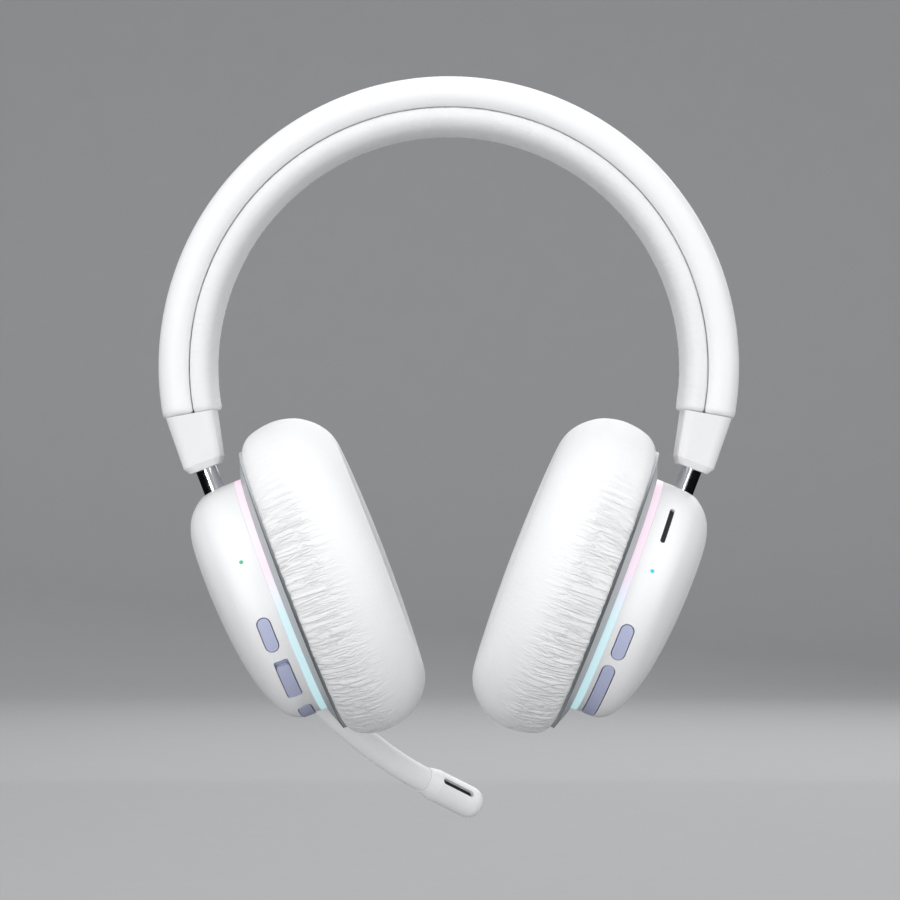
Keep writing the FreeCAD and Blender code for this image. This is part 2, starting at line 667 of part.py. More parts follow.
def boom_curve(root, outward):
    """Centre line of the boom from the socket to the microphone head."""
    head_axis = unit(HEAD_TIP - HEAD_START)
    curve = Part.BezierCurve()
    curve.setPoles([root, root + outward * BOOM_ROOT_PULL,
                    HEAD_START - head_axis * BOOM_HEAD_PULL, HEAD_START])
    return curve


def build_boom():
    """Plug, tapered arm and microphone head with its slot, mesh and capsule."""
    socket = rim_frame(MIC_SOCKET, 1)
    plug = Part.makeCylinder(PLUG_R, PLUG_LENGTH + BOOM_START, Vec(0, 0, -PLUG_LENGTH), Vec(0, 0, 1))
    save("mic_plug", on_side(placed(plug, socket), "left"))

    root = CUP_FRAME.multVec(socket.multVec(Vec(0, 0, BOOM_START)))
    further = CUP_FRAME.multVec(socket.multVec(Vec(0, 0, BOOM_START + CUT_MARGIN)))
    outward = unit(further - root)
    root.x = -root.x
    outward.x = -outward.x
    curve = boom_curve(root, outward)
    wires = []
    for index in range(ARM_STATIONS):
        share = index / (ARM_STATIONS - 1)
        position = curve.FirstParameter + share * (curve.LastParameter - curve.FirstParameter)
        radius = ARM_ROOT_R + (ARM_THICK_R - ARM_ROOT_R) * min(1.0, share / ARM_GROW_SHARE)
        radius -= (ARM_THICK_R - ARM_END_R) * max(0.0, (share - ARM_GROW_SHARE) / (1 - ARM_GROW_SHARE))
        tangent = unit(curve.tangent(position)[0])
        across = unit(tangent.cross(Vec(0, 0, 1)))
        ring = Part.Wire(Part.makeCircle(radius))
        wires.append(placed(ring, frame_from(curve.value(position), across, tangent)))
    arm = Part.makeLoft(wires, True, False)
    save("boom_arm", arm)

    axis = HEAD_TIP - HEAD_START
    length = axis.Length
    axis = unit(axis)
    toward_rear = unit(Vec(0, -1, 0) - axis * axis.dot(Vec(0, -1, 0)))
    raised = unit(axis.cross(toward_rear))
    if raised.z < 0:
        raised = raised * -1
    roll = math.radians(SLOT_ROLL)
    slot_out = toward_rear * math.cos(roll) + raised * math.sin(roll)
    start = HEAD_START + axis * HEAD_GAP
    neck = Part.makeCone(HEAD_NECK_R, HEAD_R, HEAD_TAPER, start, axis)
    barrel = Part.makeCylinder(HEAD_R, length - HEAD_TAPER - HEAD_GAP, start + axis * HEAD_TAPER, axis)
    ball = Part.makeSphere(HEAD_R, HEAD_TIP)
    head = neck.fuse(barrel).fuse(ball).removeSplitter()
    slot_frame = frame_from(HEAD_START + axis * SLOT_CENTRE, axis, slot_out)
    slot = placed(stadium(SLOT_LENGTH, SLOT_WIDTH, HEAD_R - SLOT_DEPTH, HEAD_R + 3 * CUT_MARGIN), slot_frame)
    mesh_low = HEAD_R - SLOT_DEPTH
    mesh = stadium(SLOT_LENGTH - MESH_FIT, SLOT_WIDTH - MESH_FIT, mesh_low, mesh_low + GRILLE_THICK)
    mesh = placed(mesh, slot_frame)
    nest_depth = CAPSULE_THICK + 2 * CAPSULE_FIT
    nest = Part.makeCylinder(CAPSULE_R + CAPSULE_FIT, nest_depth, Vec(0, 0, mesh_low - nest_depth))
    nest = placed(nest, slot_frame)
    capsule = placed(Part.makeCylinder(CAPSULE_R, CAPSULE_THICK, Vec(0, 0, mesh_low - CAPSULE_THICK)), slot_frame)
    save("mic_head", head.cut(slot).cut(nest))
    save("mic_grille", mesh)
    save("mic_capsule", capsule)


def usb_socket():
    """Charging socket in the front of the right rim: body and the space inside it."""
    frame = rim_frame(USB_SOCKET, 1)
    body = prism(rounded_face(USB_BODY[0] / 2, USB_BODY[1] / 2, USB_BODY_ROUND),
                 -USB_LENGTH - USB_FLOOR, -SOCKET_INSET)
    space = prism(rounded_face(USB_OPENING[0] / 2, USB_OPENING[1] / 2, USB_ROUND),
                  -USB_LENGTH, 2 * CUT_MARGIN)
    tongue = prism(rounded_face(USB_TONGUE[0] / 2, USB_TONGUE[1] / 2, USB_TONGUE_ROUND),
                   -USB_LENGTH - USB_FLOOR / 2, -USB_TONGUE_INSET)
    socket = body.cut(space).fuse(tongue)
    return placed(socket, frame), placed(body, frame)


# ---- build -----------------------------------------------------------------------
def build_left_cup():
    """Left cup: power key, mute slide, mode key, microphone and audio sockets."""
    side = "left"
    mic_socket = jack_socket(MIC_SOCKET)
    audio_socket = jack_socket(AUDIO_SOCKET)
    light = status_light(LEFT_LED)
    mute_hole = rim_block(MUTE, MUTE["length"] + 2 * CONTROL_GAP, MUTE["width"] + 2 * CONTROL_GAP,
                          MUTE_CORNER)
    openings = [rim_hole(POWER), mute_hole, mute_pocket(), rim_hole(MODE), light,
                rim_cylinder(MIC_SOCKET, SOCKET_R, -SOCKET_LENGTH - SOCKET_FLOOR, 3 * CUT_MARGIN, 1),
                rim_cylinder(AUDIO_SOCKET, SOCKET_R, -SOCKET_LENGTH - SOCKET_FLOOR, 3 * CUT_MARGIN, 1)]
    shell = cup_shell(openings)
    save_cup("cup_shell", shell, side)
    save("power_button", on_side(rim_button(POWER), side))
    save("mute_switch", on_side(mute_slide(), side))
    save("mode_button", on_side(rim_button(MODE), side))
    save("status_light_left", on_side(light, side))
    save("mic_socket", on_side(mic_socket, side))
    save("audio_socket", on_side(audio_socket, side))


def build_right_cup():
    """Right cup: vent, pairing key, volume rocker, charging socket and battery."""
    side = "right"
    light = status_light(RIGHT_LED)
    socket, socket_body = usb_socket()
    vent = rim_stadium(VENT)
    mouth = prism(rounded_face(USB_BODY[0] / 2, USB_BODY[1] / 2, USB_BODY_ROUND), -USB_MOUTH, 3 * CUT_MARGIN)
    mouth = placed(mouth, rim_frame(USB_SOCKET, 1))
    shell = cup_shell([rim_hole(PAIRING), rim_hole(ROCKER), light, vent, socket_body, mouth])
    save_cup("cup_shell", shell, side)
    save("pairing_button", on_side(rim_button(PAIRING), side))
    save("volume_rocker", on_side(rim_button(ROCKER), side))
    save("status_light_right", on_side(light, side))
    mesh = rim_band(-VENT_DEPTH[0], -VENT_DEPTH[1]).common(rim_stadium(VENT, -MESH_FIT, -MESH_FIT))
    save("vent_mesh", on_side(mesh, side))
    save("charging_socket", on_side(socket, side))
    low = (BATTERY_U[0], -BATTERY_HALF[0], BATTERY_MID_UP - BATTERY_HALF[1])
    high = (BATTERY_U[1], BATTERY_HALF[0], BATTERY_MID_UP + BATTERY_HALF[1])
    save("battery", on_side(box(low, high), side))


def main():
    """Build and write every sub-part."""
    os.makedirs("parts", exist_ok=True)
    build_headband(rod_pocket())
    body = shell_solid(SHELL_WALL)
    for side in ("left", "right"):
        build_band_end(side)
        build_rod(side)
        build_pivot(side, body)
        build_rings(side)
        build_cushion(side)
        build_driver(side)
        build_board(side)
    build_left_cup()
    build_right_cup()
    build_boom()


main()
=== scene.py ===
import json
import math

import bpy
import numpy as np
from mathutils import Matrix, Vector


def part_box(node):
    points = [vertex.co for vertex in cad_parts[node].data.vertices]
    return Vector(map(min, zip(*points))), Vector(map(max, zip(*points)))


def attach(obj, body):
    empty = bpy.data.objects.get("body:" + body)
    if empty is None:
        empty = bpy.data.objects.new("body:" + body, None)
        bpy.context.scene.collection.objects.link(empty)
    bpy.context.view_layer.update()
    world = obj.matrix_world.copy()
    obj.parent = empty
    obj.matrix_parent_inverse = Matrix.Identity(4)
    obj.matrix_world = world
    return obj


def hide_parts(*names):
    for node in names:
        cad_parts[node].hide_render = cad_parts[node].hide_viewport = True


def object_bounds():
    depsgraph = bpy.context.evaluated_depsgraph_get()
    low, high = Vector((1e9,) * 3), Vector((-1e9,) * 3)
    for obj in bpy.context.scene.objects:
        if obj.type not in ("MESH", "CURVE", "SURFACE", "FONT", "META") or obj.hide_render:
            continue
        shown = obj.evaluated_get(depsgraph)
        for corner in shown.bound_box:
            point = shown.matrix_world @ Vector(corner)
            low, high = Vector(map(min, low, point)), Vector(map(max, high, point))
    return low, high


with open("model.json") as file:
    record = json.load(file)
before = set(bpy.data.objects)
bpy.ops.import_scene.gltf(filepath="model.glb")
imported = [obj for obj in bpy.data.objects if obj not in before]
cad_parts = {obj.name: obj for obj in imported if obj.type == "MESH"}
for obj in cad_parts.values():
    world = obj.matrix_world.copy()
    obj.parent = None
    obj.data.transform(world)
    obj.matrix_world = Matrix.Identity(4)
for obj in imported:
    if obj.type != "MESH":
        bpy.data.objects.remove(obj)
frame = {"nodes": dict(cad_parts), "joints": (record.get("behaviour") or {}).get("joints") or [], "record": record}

MM = 0.001
CAD_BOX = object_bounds()
NODES = frame["nodes"]
JOINTS = {joint["name"]: joint for joint in frame["joints"]}
SIDES = ("left", "right")


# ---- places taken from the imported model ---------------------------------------
def node_points(node):
    """Vertices of a CAD node as an array, in metres."""
    mesh = NODES[node].data
    flat = np.zeros(len(mesh.vertices) * 3)
    mesh.vertices.foreach_get("co", flat)
    return flat.reshape(-1, 3)


class CupFrame:
    """Directions of one ear cup: outward, forward and up along the leaning ring."""

    def __init__(self, side):
        swivel = JOINTS["swivel_" + side]
        self.side = side
        self.sign = 1.0 if side == "right" else -1.0
        self.origin = np.array(swivel["pos_m"])
        self.up = np.array(swivel["axis"])
        self.up /= np.linalg.norm(self.up)
        self.forward = np.array([0.0, 1.0, 0.0])
        self.outward = np.cross(self.forward, self.up) * self.sign

    def local(self, points):
        """Row-frame points as (outward, forward, up) from the rod's foot."""
        offset = np.asarray(points) - self.origin
        return np.stack([offset @ self.outward, offset @ self.forward, offset @ self.up], axis=-1)

    def world(self, points):
        """Cup points (outward, forward, up) in the row frame."""
        points = np.asarray(points, float)
        return (self.origin + points[..., :1] * self.outward + points[..., 1:2] * self.forward
                + points[..., 2:3] * self.up)

    def span(self, node):
        """Lowest and highest local coordinates of a node."""
        local = self.local(node_points(node))
        return local.min(0), local.max(0)


CUPS = {side: CupFrame(side) for side in SIDES}


# ---- mesh helpers ----------------------------------------------------------------
def new_piece(name, vertices, faces, material):
    """Mesh object with its place in its mesh."""
    mesh = bpy.data.meshes.new(name)
    mesh.from_pydata([tuple(v) for v in vertices], [], faces)
    mesh.validate()
    mesh.polygons.foreach_set("use_smooth", [True] * len(mesh.polygons))
    mesh.materials.append(material)
    piece = bpy.data.objects.new(name, mesh)
    bpy.context.scene.collection.objects.link(piece)
    return piece


def grid_faces(rows, columns, close_rows, close_columns):
    """Quads of a grid of points, wrapped round where asked."""
    last_row = rows if close_rows else rows - 1
    last_column = columns if close_columns else columns - 1
    i = np.arange(last_row)[:, None]
    j = np.arange(last_column)[None, :]
    a = i * columns + j
    b = ((i + 1) % rows) * columns + j
    c = ((i + 1) % rows) * columns + (j + 1) % columns
    d = i * columns + (j + 1) % columns
    quads = np.stack([a, b, c, d], axis=-1).reshape(-1, 4)
    return [tuple(int(k) for k in quad) for quad in quads]


def closed_spline(points, count):
    """Even samples of a closed smooth line through a few points."""
    points = np.asarray(points, float)
    total = len(points)
    samples = []
    for k in range(total):
        p0, p1, p2, p3 = (points[(k + shift) % total] for shift in (-1, 0, 1, 2))
        t = np.linspace(0, 1, 40, endpoint=False)[:, None]
        samples.append(0.5 * (2 * p1 + (p2 - p0) * t + (2 * p0 - 5 * p1 + 4 * p2 - p3) * t ** 2
                              + (3 * p1 - p0 - 3 * p2 + p3) * t ** 3))
    dense = np.concatenate(samples)
    ring = np.vstack([dense, dense[:1]])
    length = np.concatenate([[0], np.cumsum(np.linalg.norm(np.diff(ring, axis=0), axis=1))])
    wanted = np.linspace(0, length[-1], count, endpoint=False)
    return np.stack([np.interp(wanted, length, ring[:, axis]) for axis in range(2)], axis=-1)


def grid_normals(points, close_rows, close_columns):
    """Unit normals of a grid of points."""
    def slope(axis, closed):
        if closed:
            return np.roll(points, -1, axis) - np.roll(points, 1, axis)
        return np.gradient(points, axis=axis)
    normal = np.cross(slope(0, close_rows), slope(1, close_columns))
    return normal / np.maximum(np.linalg.norm(normal, axis=-1, keepdims=True), 1e-12)


def lattice_noise(x, y, seed, period=None):
    """Smooth noise between -1 and 1, repeating along x after a whole period."""
    random = np.random.default_rng(seed)
    size = 256
    table = random.uniform(-1, 1, (size, size))
    columns = size if period is None else period
    x0 = np.floor(x).astype(int)
    y0 = np.floor(y).astype(int)
    fx = x - x0
    fy = y - y0
    fx = fx * fx * (3 - 2 * fx)
    fy = fy * fy * (3 - 2 * fy)

    def value(i, j):
        return table[np.mod(i, columns) % size, np.mod(j, size)]
    low = value(x0, y0) * (1 - fx) + value(x0 + 1, y0) * fx
    high = value(x0, y0 + 1) * (1 - fx) + value(x0 + 1, y0 + 1) * fx
    return low * (1 - fy) + high * fy


def smooth_step(low, high, value):
    """0 below low, 1 above high, smooth between."""
    t = np.clip((value - low) / (high - low), 0, 1)
    return t * t * (3 - 2 * t)


# ---- materials -----------------------------------------------------------------
def node_link(tree, source, target):
    """Join two sockets."""
    tree.links.new(source, target)


def new_material(name, colour, roughness, metallic=0.0, specular=0.5, sheen=0.0):
    """Principled material with its constants on the shader."""
    material = bpy.data.materials.new(name)
    material.use_nodes = True
    tree = material.node_tree
    shader = tree.nodes["Principled BSDF"]
    shader.inputs["Base Color"].default_value = (*colour, 1.0)
    shader.inputs["Roughness"].default_value = roughness
    shader.inputs["Metallic"].default_value = metallic
    shader.inputs["Specular IOR Level"].default_value = specular
    shader.inputs["Sheen Weight"].default_value = sheen
    return material


def object_noise(tree, scale, detail=2.0, rough=0.5, stretch=None):
    """Noise on Object coordinates."""
    place = tree.nodes.new("ShaderNodeTexCoord")
    source = place.outputs["Object"]
    if stretch is not None:
        mapping = tree.nodes.new("ShaderNodeMapping")
        mapping.inputs["Scale"].default_value = stretch
        node_link(tree, source, mapping.inputs["Vector"])
        source = mapping.outputs["Vector"]
    noise = tree.nodes.new("ShaderNodeTexNoise")
    noise.inputs["Scale"].default_value = scale
    noise.inputs["Detail"].default_value = detail
    noise.inputs["Roughness"].default_value = rough
    node_link(tree, source, noise.inputs["Vector"])
    return noise.outputs["Fac"]


def cell_distance(tree, scale):
    """Distance to the nearest pebble centre on Object coordinates."""
    place = tree.nodes.new("ShaderNodeTexCoord")
    cells = tree.nodes.new("ShaderNodeTexVoronoi")
    cells.feature = "SMOOTH_F1"
    cells.inputs["Scale"].default_value = scale
    node_link(tree, place.outputs["Object"], cells.inputs["Vector"])
    return cells.outputs["Distance"]


def vary_colour(material, factor, dark, light):
    """Base colour between two tones."""
    tree = material.node_tree
    mix = tree.nodes.new("ShaderNodeMix")
    mix.data_type = "RGBA"
    mix.inputs["A"].default_value = (*dark, 1.0)
    mix.inputs["B"].default_value = (*light, 1.0)
    node_link(tree, factor, mix.inputs["Factor"])
    node_link(tree, mix.outputs["Result"], tree.nodes["Principled BSDF"].inputs["Base Color"])


def vary_roughness(material, factor, low, high):
    """Roughness between two values."""
    tree = material.node_tree
    spread = tree.nodes.new("ShaderNodeMapRange")
    spread.inputs["To Min"].default_value = low
    spread.inputs["To Max"].default_value = high
    node_link(tree, factor, spread.inputs["Value"])
    node_link(tree, spread.outputs["Result"], tree.nodes["Principled BSDF"].inputs["Roughness"])


def add_bump(material, layers):
    """Chain of bumps: (height socket, strength, distance in metres)."""
    tree = material.node_tree
    previous = None
    for height, strength, distance in layers:
        bump = tree.nodes.new("ShaderNodeBump")
        bump.inputs["Strength"].default_value = strength
        bump.inputs["Distance"].default_value = distance
        node_link(tree, height, bump.inputs["Height"])
        if previous is not None:
            node_link(tree, previous, bump.inputs["Normal"])
        previous = bump.outputs["Normal"]
    node_link(tree, previous, tree.nodes["Principled BSDF"].inputs["Normal"])


def moulded_plastic(name, colour, roughness=0.42, grain=2600.0, strength=0.08):
    """Moulded plastic with a fine spark-eroded grain and faint tone drift."""
    material = new_material(name, colour, roughness, specular=0.45)
    tree = material.node_tree
    drift = object_noise(tree, 45.0, 3.0)
    vary_colour(material, drift, tuple(c * 0.965 for c in colour), colour)
    fine = object_noise(tree, grain, 2.0)
    vary_roughness(material, fine, roughness - 0.05, roughness + 0.07)
    add_bump(material, [(fine, strength, 0.00004), (object_noise(tree, 160.0, 1.0), 0.03, 0.0002)])
    return material


def leatherette(name, colour, roughness, pebble=1150.0, pebble_strength=0.35, crease_strength=0.3):
    """Coated fabric: pebbled grain, fine creases, tone and gloss drift."""
    material = new_material(name, colour, roughness, specular=0.4, sheen=0.05)
    tree = material.node_tree
    drift = object_noise(tree, 70.0, 4.0)
    vary_colour(material, drift, tuple(c * 0.95 for c in colour), colour)
    vary_roughness(material, object_noise(tree, 420.0, 3.0), roughness - 0.06, roughness + 0.1)
    add_bump(material, [
        (cell_distance(tree, pebble), pebble_strength, 0.00012),
        (object_noise(tree, 520.0, 5.0, 0.6), crease_strength, 0.00022),
    ])
    return material


def gathered_leatherette(name, colour, roughness):
    """Coated fabric with fine creases where it is gathered, on the skin map."""
    material = leatherette(name, colour, roughness, 1150.0, 0.25, 0.2)
    tree = material.node_tree
    shader = tree.nodes["Principled BSDF"]
    skin = tree.nodes.new("ShaderNodeUVMap")
    skin.uv_map = "skin"
    stretch = tree.nodes.new("ShaderNodeMapping")
    stretch.inputs["Scale"].default_value = (62.0, 9.0, 1.0)
    node_link(tree, skin.outputs["UV"], stretch.inputs["Vector"])
    noise = tree.nodes.new("ShaderNodeTexNoise")
    noise.inputs["Scale"].default_value = 1.0
    noise.inputs["Detail"].default_value = 4.0
    noise.inputs["Distortion"].default_value = 0.5
    node_link(tree, stretch.outputs["Vector"], noise.inputs["Vector"])
    ridge = tree.nodes.new("ShaderNodeMapRange")
    ridge.interpolation_type = "SMOOTHSTEP"
    ridge.inputs["From Min"].default_value = 0.0
    ridge.inputs["From Max"].default_value = 0.11
    centred = tree.nodes.new("ShaderNodeMath")
    centred.operation = "SUBTRACT"
    centred.inputs[1].default_value = 0.5
    node_link(tree, noise.outputs["Fac"], centred.inputs[0])
    folded = tree.nodes.new("ShaderNodeMath")
    folded.operation = "ABSOLUTE"
    node_link(tree, centred.outputs["Value"], folded.inputs[0])
    node_link(tree, folded.outputs["Value"], ridge.inputs["Value"])
    mask = tree.nodes.new("ShaderNodeAttribute")
    mask.attribute_name = "gather"
    amount = tree.nodes.new("ShaderNodeMapRange")
    amount.inputs["To Min"].default_value = 0.06
    amount.inputs["To Max"].default_value = 0.85
    node_link(tree, mask.outputs["Fac"], amount.inputs["Value"])
    bump = tree.nodes.new("ShaderNodeBump")
    bump.inputs["Distance"].default_value = 0.00035
    node_link(tree, amount.outputs["Result"], bump.inputs["Strength"])
    node_link(tree, ridge.outputs["Result"], bump.inputs["Height"])
    previous = shader.inputs["Normal"].links[0].from_socket
    node_link(tree, previous, bump.inputs["Normal"])
    node_link(tree, bump.outputs["Normal"], shader.inputs["Normal"])
    return material


def lit_diffuser(name, low_z, high_z):
    """Lit light guide: pink at the top, near white in the middle, cyan at the bottom."""
    material = new_material(name, (0.42, 0.42, 0.44), 0.35)
    tree = material.node_tree
    place = tree.nodes.new("ShaderNodeTexCoord")
    split = tree.nodes.new("ShaderNodeSeparateXYZ")
    node_link(tree, place.outputs["Object"], split.inputs["Vector"])
    height = tree.nodes.new("ShaderNodeMapRange")
    height.inputs["From Min"].default_value = low_z
    height.inputs["From Max"].default_value = high_z
    node_link(tree, split.outputs["Z"], height.inputs["Value"])
    ramp = tree.nodes.new("ShaderNodeValToRGB")
    node_link(tree, height.outputs["Result"], ramp.inputs["Fac"])
    stops = ramp.color_ramp.elements
    stops[0].position = 0.0
    stops[0].color = (0.34, 0.56, 0.59, 1.0)
    stops[1].position = 1.0
    stops[1].color = (0.59, 0.42, 0.52, 1.0)
    for position, colour in ((0.42, (0.36, 0.56, 0.60, 1.0)), (0.52, (0.46, 0.48, 0.58, 1.0)),
                             (0.62, (0.58, 0.43, 0.53, 1.0))):
        stop = stops.new(position)
        stop.color = colour
    shader = tree.nodes["Principled BSDF"]
    node_link(tree, ramp.outputs["Color"], shader.inputs["Emission Color"])
    shader.inputs["Emission Strength"].default_value = 1.0
    return material


def lamp(name, colour, strength):
    """Small lit indicator."""
    material = new_material(name, colour, 0.3)
    shader = material.node_tree.nodes["Principled BSDF"]
    shader.inputs["Emission Color"].default_value = (*colour, 1.0)
    shader.inputs["Emission Strength"].default_value = strength
    return material


def metal(name, colour, roughness, brushed=None):
    """Metal with fine drawn lines or soft polishing marks."""
    material = new_material(name, colour, roughness, metallic=1.0)
    tree = material.node_tree
    lines = object_noise(tree, 900.0, 3.0, 0.6, brushed or (1.0, 1.0, 1.0))
    vary_roughness(material, lines, max(0.02, roughness - 0.04), roughness + 0.06)
    add_bump(material, [(lines, 0.04, 0.00002)])
    return material


WHITE = (0.86, 0.86, 0.865)
TRIM_GREY = (0.49, 0.515, 0.53)
KEY_LAVENDER = (0.47, 0.50, 0.68)

MATERIALS = {
    "cover_leatherette": leatherette("band_cover_leatherette", WHITE, 0.46, 1500.0, 0.1, 0.08),
    "pad_leatherette": leatherette("band_pad_leatherette", (0.80, 0.80, 0.805), 0.5),
    "cushion_leatherette": gathered_leatherette("cushion_leatherette", (0.85, 0.85, 0.855), 0.5),
    "white_plastic": moulded_plastic("white_shell_plastic", WHITE),
    "boom_skin": moulded_plastic("boom_soft_skin", WHITE, 0.5),
    "trim_plastic": moulded_plastic("grey_trim_plastic", TRIM_GREY, 0.38),
    "key_plastic": moulded_plastic("lavender_key_plastic", KEY_LAVENDER, 0.4),
    "frame_nylon": moulded_plastic("band_frame_nylon", (0.05, 0.05, 0.055), 0.55),
    "spring_steel": metal("spring_steel", (0.55, 0.55, 0.57), 0.3, (1, 60, 1)),
    "polished_chrome": metal("polished_chrome", (0.86, 0.86, 0.88), 0.07),
    "pivot_metal": metal("pivot_zinc", (0.35, 0.35, 0.37), 0.35),
    "light_diffuser": lit_diffuser("light_diffuser", *(corner.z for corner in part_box("light_ring_left"))),
    "baffle_plastic": moulded_plastic("baffle_plastic", (0.03, 0.03, 0.033), 0.6),
    "screw_steel": metal("screw_steel", (0.5, 0.5, 0.52), 0.35),
    "scrim_cloth": moulded_plastic("scrim_cloth", (0.03, 0.03, 0.033), 0.85),
    "driver_metal": metal("driver_metal", (0.3, 0.3, 0.33), 0.4),
    "cone_film": moulded_plastic("cone_film", (0.05, 0.05, 0.06), 0.25),
    "board_laminate": moulded_plastic("board_laminate", (0.02, 0.12, 0.05), 0.35),
    "lamp_green": lamp("lamp_green", (0.04, 0.32, 0.17), 0.5),
    "lamp_cyan": lamp("lamp_cyan", (0.03, 0.38, 0.60), 0.6),
    "socket_plastic": moulded_plastic("socket_plastic", (0.03, 0.03, 0.034), 0.5),
    "socket_metal": metal("socket_metal", (0.7, 0.7, 0.72), 0.25),
    "dark_mesh": moulded_plastic("dark_mesh", (0.008, 0.008, 0.009), 0.6),
    "battery_wrap": moulded_plastic("battery_wrap", (0.05, 0.12, 0.35), 0.3),
    "capsule_metal": metal("capsule_metal", (0.7, 0.7, 0.7), 0.3),
}


def dress_cad_nodes():
    """Each CAD node takes the material of its slot."""
    slot_of = {part["node"]: part["material_slot"] for part in frame["record"]["subparts"]}
    for node, piece in NODES.items():
        for slot in piece.material_slots:
            slot.material = MATERIALS[slot_of[node]]


# ---- headband skins --------------------------------------------------------------
ROD_OFFSET = -7.8 * MM
BAND_STATIONS = 720
BAND_END_ROUND = 2.0 * MM
COVER_SECTION = [(76.6, 15.0), (77.2, 16.3), (79.2, 17.4), (81.6, 17.35), (83.9, 16.2), (85.4, 13.9),
                 (86.0, 10.0), (86.15, 3.5)]
PAD_SECTION = [(76.45, 14.8), (75.8, 15.9), (74.0, 16.5), (72.0, 15.9), (70.4, 13.8), (69.5, 9.5),
               (69.1, 3.5)]


def mirrored_section(half, inner_radius):
    """Closed outline from one half: (radius, forward) in millimetres."""
    rear = [(radius, -forward) for radius, forward in half]
    back = [(inner_radius, 9.0), (inner_radius, -9.0)]
    return np.array(rear + half[::-1] + back) * MM


class Band:
    """The arch: centre height, radii and end angle, read from the cover's node."""

    def __init__(self):
        points = node_points("headband_cover")
        self.outer = np.abs(points[:, 0]).max()
        self.centre = points[:, 2].max() - self.outer
        low = points[points[:, 2] < self.centre]
        angle = np.arctan2(self.centre - low[:, 2], np.abs(low[:, 0]))
        self.end_angle = angle.max()

    def stations(self, count):
        """Angles from the left end over the top to the right end."""
        return np.linspace(math.pi + self.end_angle, -self.end_angle, count)

    def sweep(self, section, count):
        """Section carried along the arch, with softly rounded ends."""
        angles = self.stations(count)
        reach = np.minimum(angles[0] - angles, angles - angles[-1]) * self.outer
        middle = section.mean(0)
        rounding = np.clip(reach / BAND_END_ROUND, 0, 1)
        swell = 0.88 + 0.12 * np.sqrt(1 - (1 - rounding) ** 2)
        shape = middle + (section[None, :, :] - middle) * swell[:, None, None]
        radius = shape[..., 0]
        angle = angles[:, None]
        x = radius * np.cos(angle)
        z = self.centre + radius * np.sin(angle)
        return np.stack([x, shape[..., 1], z], axis=-1)


def band_skin(name, section, count, around, material, creases=0.0, seed=1):
    """Swept skin of the band with closed ends and fine creases."""
    outline = closed_spline(section, around)
    points = BAND.sweep(outline, count)
    if creases:
        normals = grid_normals(points, False, True)
        along = np.linspace(0, BAND.outer * (math.pi + 2 * BAND.end_angle), count) / MM
        across = np.linspace(0, 60.0, around, endpoint=False)
        height = crease_field(along[:, None], across[None, :], seed, None)
        points = points + normals * (height * creases)[..., None]
    faces = grid_faces(count, around, False, True)
    vertices = points.reshape(-1, 3)
    ends = [points[0].mean(0), points[-1].mean(0)]
    first = len(vertices)
    vertices = np.vstack([vertices, ends])
    last_row = (count - 1) * around
    for j in range(around):
        following = (j + 1) % around
        faces.append((first, j, following))
        faces.append((first + 1, last_row + following, last_row + j))
    return new_piece(name, vertices, faces, material)


def crease_field(along, across, seed, period):
    """Sharp creases across the run, with softer folds between them, about -1 to 1."""
    def turns_of(pitch):
        return None if period is None else max(1, round(period / pitch))

    def scale_of(pitch):
        return pitch if period is None else period / turns_of(pitch)
    drift = lattice_noise(along / scale_of(9.0), across / 7.0, seed, turns_of(9.0))
    bent = along + 0.9 * drift
    total = np.zeros(np.broadcast(along, across).shape)
    for pitch, length, share, width, shift in ((1.5, 15.0, 0.9, 0.34, 1), (1.1, 11.0, 0.7, 0.38, 2),
                                               (2.4, 20.0, 0.8, 0.24, 3)):
        noise = lattice_noise(bent / scale_of(pitch), across / length, seed + shift, turns_of(pitch))
        total -= share * np.exp(-(noise / width) ** 2)
    folds = lattice_noise(bent / scale_of(3.6), across / 15.0, seed + 9, turns_of(3.6))
    return total + 1.0 + 0.45 * folds


# ---- ear cushions ------------------------------------------------------------------
CUSHION_AROUND = 1240
CUSHION_ACROSS = 80
CUSHION_RUN = 288.0
CLOTH_AROUND = 88
CLOTH_ACROSS = 30
CLOTH_FRAMES = 20
CLOTH_CAP = 1.6 * MM
CLOTH_START_SHRINK = 0.9 * MM
CREASE_DEPTH = 0.12 * MM
CREASE_REACH = (11.0, 25.0)
CREASE_SIDE = (7.0, 12.0)
CREASE_START = (4.0, 6.0)
CREASE_TOP = (0.35, 0.9)
SWELL_SHARE = 0.6
CUSHION_OUTLINE = [(13.0, -4.6), (7.8, -3.6), (4.6, -4.1), (1.9, -6.8), (0.5, -10.8), (0.0, -15.5),
                   (0.5, -19.6), (1.9, -23.6), (4.6, -27.4), (7.6, -30.0), (10.8, -31.6), (14.2, -32.2),
                   (17.4, -31.0), (19.6, -28.2), (20.4, -23.5), (20.6, -15.5), (20.4, -8.0), (18.6, -4.6)]


BACK_FULLER = 3.0 * MM
BACK_LIMIT = -3.5 * MM
BACK_START = (-14 * MM, -6.8 * MM)
BACK_FADE = (4.6 * MM, 7.8 * MM)
FACE_BULGE = -0.9 * MM
FACE_START = (-20 * MM, -32 * MM)


